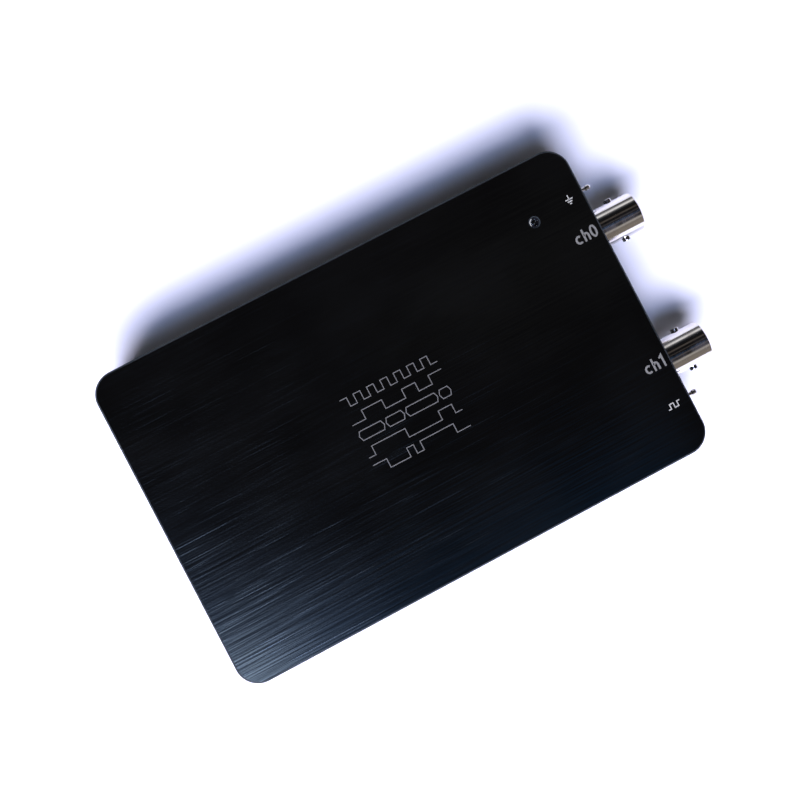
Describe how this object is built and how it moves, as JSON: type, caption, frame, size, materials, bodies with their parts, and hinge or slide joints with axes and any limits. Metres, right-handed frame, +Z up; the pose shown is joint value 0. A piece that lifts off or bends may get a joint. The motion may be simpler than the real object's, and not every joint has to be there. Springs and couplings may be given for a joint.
{
  "type": "logic analyzer",
  "caption": "Pocket logic analyzer and oscilloscope in a flat black aluminium case: BNC inputs and test pins in front, digital header and USB sockets at the rear.",
  "frame": {"origin": "on the surface that the feet stand on, under the middle of the overall length from the rear face to the tips of the input sockets, and midway between the long sides", "axes": "+X from the rear face towards the input sockets, +Y towards the side with the ground pin and the status light, +Z up out of the case's top"},
  "size_m": [0.132, 0.0776, 0.024],
  "materials": {
    "anodised_black": "brushed and anodised black",
    "nickel": "bright nickel plating",
    "dielectric": "white fluoropolymer",
    "gold": "gold plating",
    "black_plastic": "moulded, satin",
    "rubber": "matt",
    "black_steel": "black oxide",
    "tinned_steel": "tin plated",
    "tinned_leads": "bright tin",
    "solder_mask": "solder mask over glass laminate",
    "insulating_film": "amber film",
    "chip_body": "moulded epoxy, matt",
    "relay_white": "moulded",
    "tantalum_yellow": "moulded",
    "capacitor_tan": "fired ceramic",
    "trimmer_body": "moulded blue",
    "trimmer_metal": "plated",
    "clear": "clear moulded"
  },
  "bodies": {
    "instrument": {"amplifiers": "chip_body", "bnc_0_barrel": "nickel", "bnc_0_contact": "gold", "bnc_0_housing": "black_plastic", "bnc_0_insulator": "dielectric", "bnc_0_legs": "tinned_steel", "bnc_1_barrel": "nickel", "bnc_1_contact": "gold", "bnc_1_housing": "black_plastic", "bnc_1_insulator": "dielectric", "bnc_1_legs": "tinned_steel", "board_screws": "tinned_steel", "case_screws": "black_steel", "chip_capacitors": "capacitor_tan", "chip_resistors": "chip_body", "clock_oscillator": "tinned_steel", "converter_chip": "chip_body", "converter_leads": "tinned_leads", "coupling_relays": "relay_white", "ground_pin": "nickel", "ground_pin_bushing": "black_plastic", "header_pins": "gold", "header_shroud": "black_plastic", "insulating_film": "insulating_film", "light_pipe": "clear", "logic_chip": "chip_body", "logic_chip_balls": "tinned_leads", "logic_chip_substrate": "solder_mask", "lower_shell": "anodised_black", "main_board": "solder_mask", "memory_chip": "chip_body", "memory_leads": "tinned_leads", "microcontroller": "chip_body", "microcontroller_leads": "tinned_leads", "power_contacts": "gold", "power_inductors": "chip_body", "power_shell": "tinned_steel", "power_tongue": "black_plastic", "rubber_feet": "rubber", "shield_0_frame": "tinned_steel", "shield_0_lid": "tinned_steel", "shield_1_frame": "tinned_steel", "shield_1_lid": "tinned_steel", "signal_pin": "nickel", "signal_pin_bushing": "black_plastic", "status_led": "relay_white", "tantalum_capacitors": "tantalum_yellow", "trimmer_0_base": "trimmer_body", "trimmer_1_base": "trimmer_body", "upper_shell": "anodised_black", "usb_contacts": "gold", "usb_controller": "chip_body", "usb_controller_leads": "tinned_leads", "usb_crystal": "tinned_steel", "usb_shell": "tinned_steel", "usb_tongue": "black_plastic"},
    "trimmer_0": {"trimmer_0_rotor": "trimmer_metal"},
    "trimmer_1": {"trimmer_1_rotor": "trimmer_metal"}
  },
  "joints": [
    {"name": "trimmer_0_turn", "type": "hinge", "parent": "instrument", "child": "trimmer_0", "pos_m": [0.0322, 0.0173, 0.0092], "axis": [0, 0, 1], "continuous": true},
    {"name": "trimmer_1_turn", "type": "hinge", "parent": "instrument", "child": "trimmer_1", "pos_m": [0.0322, -0.0173, 0.0092], "axis": [0, 0, 1], "continuous": true}
  ]
}
